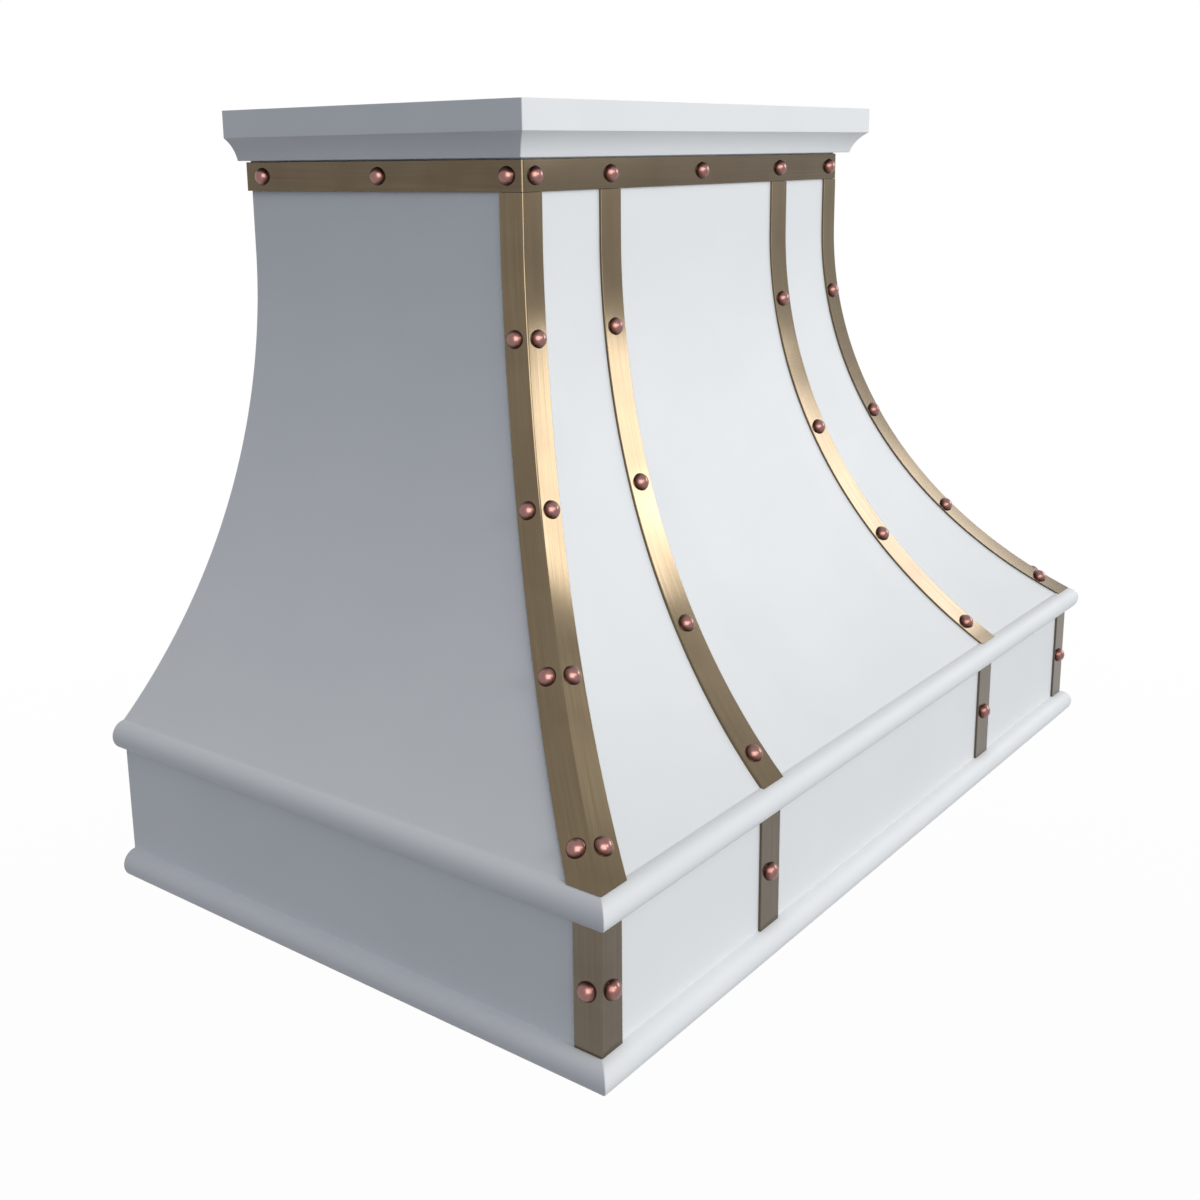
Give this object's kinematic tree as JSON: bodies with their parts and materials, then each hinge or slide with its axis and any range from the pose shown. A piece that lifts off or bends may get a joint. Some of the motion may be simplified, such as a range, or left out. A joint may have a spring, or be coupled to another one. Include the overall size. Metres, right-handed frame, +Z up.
{
  "type": "range hood",
  "caption": "Wall-mounted range hood with a flared white shell, brass straps and rivets, baffle filters, lamps, knobs, blower and a damped duct collar.",
  "frame": {"origin": "centre of the base, on the plane of the lower rails' underside", "axes": "+X to the right seen from the front, +Y into the wall, +Z up"},
  "size_m": [1.2192, 0.7325, 0.9144],
  "materials": {
    "white_shell": "satin powder coat",
    "brass_trim": "brushed antique",
    "copper_rivets": "satin copper",
    "stainless": "brushed",
    "bright_steel": "polished",
    "galvanised": "galvanised",
    "motor_paint": "satin black",
    "wheel_aluminium": "mill",
    "lamp_metal": "brushed",
    "lens_glass": "frosted",
    "knob_metal": "turned",
    "grommet_rubber": "matte",
    "lead_jacket": "matte"
  },
  "bodies": {
    "hood": {"apron_corner_strap_left": "brass_trim", "apron_corner_strap_right": "brass_trim", "apron_front": "white_shell", "apron_left": "white_shell", "apron_right": "white_shell", "apron_strap_left": "brass_trim", "apron_strap_right": "brass_trim", "back_panel": "galvanised", "blower_scroll": "galvanised", "cable_grommet": "grommet_rubber", "control_box": "galvanised", "corner_strap_left": "brass_trim", "corner_strap_right": "brass_trim", "crown_front": "white_shell", "crown_left": "white_shell", "crown_right": "white_shell", "damper_pin": "bright_steel", "duct_collar": "galvanised", "exhaust_duct": "galvanised", "face_strap_left": "brass_trim", "face_strap_right": "brass_trim", "front_panel": "white_shell", "internal_wiring": "lead_jacket", "junction_box": "galvanised", "lamp_bodies": "lamp_metal", "lamp_lenses": "lens_glass", "left_panel": "white_shell", "liner_pan": "stainless", "lower_mounting_rail": "galvanised", "lower_rail_front": "white_shell", "lower_rail_left": "white_shell", "lower_rail_right": "white_shell", "motor": "motor_paint", "motor_bracket": "galvanised", "panel_screws": "bright_steel", "plenum_housing": "galvanised", "right_panel": "white_shell", "rivets": "copper_rivets", "top_band": "brass_trim", "top_plate": "galvanised", "upper_mounting_rail": "galvanised", "upper_rail_front": "white_shell", "upper_rail_left": "white_shell", "upper_rail_right": "white_shell"},
    "impeller": {"impeller": "wheel_aluminium", "motor_shaft": "bright_steel"},
    "damper_flap_front": {"damper_flap_front": "galvanised"},
    "damper_flap_rear": {"damper_flap_rear": "galvanised"},
    "filter_left": {"filter_frame_left": "stainless", "filter_baffles_left": "stainless"},
    "bail_left": {"filter_bail_left": "bright_steel"},
    "filter_centre": {"filter_frame_centre": "stainless", "filter_baffles_centre": "stainless"},
    "bail_centre": {"filter_bail_centre": "bright_steel"},
    "filter_right": {"filter_frame_right": "stainless", "filter_baffles_right": "stainless"},
    "bail_right": {"filter_bail_right": "bright_steel"},
    "fan_knob": {"fan_knob": "knob_metal"},
    "light_knob": {"light_knob": "knob_metal"},
    "grease_cup": {"grease_cup": "stainless"}
  },
  "joints": [
    {"name": "impeller_spin", "type": "hinge", "parent": "hood", "child": "impeller", "pos_m": [0, 0.06925, 0.35], "axis": [1, 0, 0], "continuous": true},
    {"name": "damper_front_swing", "type": "hinge", "parent": "hood", "child": "damper_flap_front", "pos_m": [0, 0.14925, 0.878], "axis": [-1, 0, 0], "range_deg": [0, 80]},
    {"name": "damper_rear_swing", "type": "hinge", "parent": "hood", "child": "damper_flap_rear", "pos_m": [0, 0.14925, 0.878], "axis": [1, 0, 0], "range_deg": [0, 80]},
    {"name": "filter_left_lift", "type": "slide", "parent": "hood", "child": "filter_left", "axis": [0, 0, 1], "range_m": [0, 0.018]},
    {"name": "filter_centre_lift", "type": "slide", "parent": "hood", "child": "filter_centre", "axis": [0, 0, 1], "range_m": [0, 0.018]},
    {"name": "filter_right_lift", "type": "slide", "parent": "hood", "child": "filter_right", "axis": [0, 0, 1], "range_m": [0, 0.018]},
    {"name": "bail_left_swing", "type": "hinge", "parent": "filter_left", "child": "bail_left", "pos_m": [-0.335, -0.16675, 0.033], "axis": [1, 0, 0], "range_deg": [-70, 70]},
    {"name": "bail_centre_swing", "type": "hinge", "parent": "filter_centre", "child": "bail_centre", "pos_m": [0, -0.16675, 0.033], "axis": [1, 0, 0], "range_deg": [-70, 70]},
    {"name": "bail_right_swing", "type": "hinge", "parent": "filter_right", "child": "bail_right", "pos_m": [0.335, -0.16675, 0.033], "axis": [1, 0, 0], "range_deg": [-70, 70]},
    {"name": "fan_knob_turn", "type": "hinge", "parent": "hood", "child": "fan_knob", "pos_m": [-0.06, -0.26975, 0.02], "axis": [0, 0, -1], "range_deg": [0, 270]},
    {"name": "light_knob_turn", "type": "hinge", "parent": "hood", "child": "light_knob", "pos_m": [0.06, -0.26975, 0.02], "axis": [0, 0, -1], "range_deg": [0, 270]},
    {"name": "grease_cup_slide", "type": "slide", "parent": "hood", "child": "grease_cup", "axis": [0, -1, 0], "range_m": [0, 0.06]}
  ]
}
